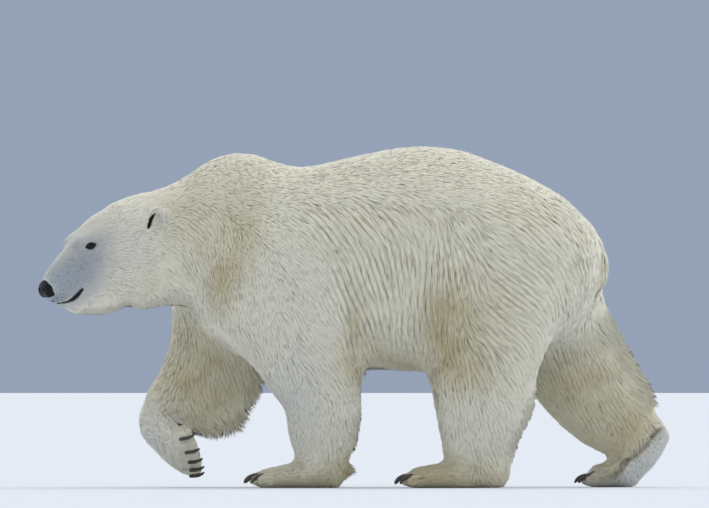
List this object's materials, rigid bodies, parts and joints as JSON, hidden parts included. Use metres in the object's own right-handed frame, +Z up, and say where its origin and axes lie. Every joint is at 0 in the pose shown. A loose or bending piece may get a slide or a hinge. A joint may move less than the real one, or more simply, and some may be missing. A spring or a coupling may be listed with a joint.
{
  "type": "polar bear",
  "caption": "Life-size still model of a walking polar bear, head low and turned to its left, with one forepaw lifted in the stride.",
  "frame": {"origin": "on the floor, under the middle of the model's bounding box", "axes": "-X towards the nose end, +X towards the tail, -Y the bear's left side, +Z up from the floor it stands on"},
  "size_m": [2.2126, 0.6432, 1.196],
  "materials": {
    "coat": "long cream-white fur",
    "nose": "damp black nose skin",
    "eye": "wet dark brown eye",
    "claw": "satin black-brown horn"
  },
  "bodies": {
    "root": {"trunk": "coat", "neck": "coat", "head": "coat", "nose": "nose", "ear_left": "coat", "ear_right": "coat", "tail": "coat", "eye_left": "eye", "eye_right": "eye", "foreleg_left_upper": "coat", "foreleg_left_lower": "coat", "forepaw_left": "coat", "foreleg_right_upper": "coat", "foreleg_right_lower": "coat", "forepaw_right": "coat", "hindleg_left_upper": "coat", "hindleg_left_lower": "coat", "hindpaw_left": "coat", "hindleg_right_upper": "coat", "hindleg_right_lower": "coat", "hindpaw_right": "coat", "fore_claw_left_1": "claw", "fore_claw_left_2": "claw", "fore_claw_left_3": "claw", "fore_claw_left_4": "claw", "fore_claw_left_5": "claw", "fore_claw_right_1": "claw", "fore_claw_right_2": "claw", "fore_claw_right_3": "claw", "fore_claw_right_4": "claw", "fore_claw_right_5": "claw", "hind_claw_left_1": "claw", "hind_claw_left_2": "claw", "hind_claw_left_3": "claw", "hind_claw_left_4": "claw", "hind_claw_left_5": "claw", "hind_claw_right_1": "claw", "hind_claw_right_2": "claw", "hind_claw_right_3": "claw", "hind_claw_right_4": "claw", "hind_claw_right_5": "claw"}
  },
  "joints": []
}
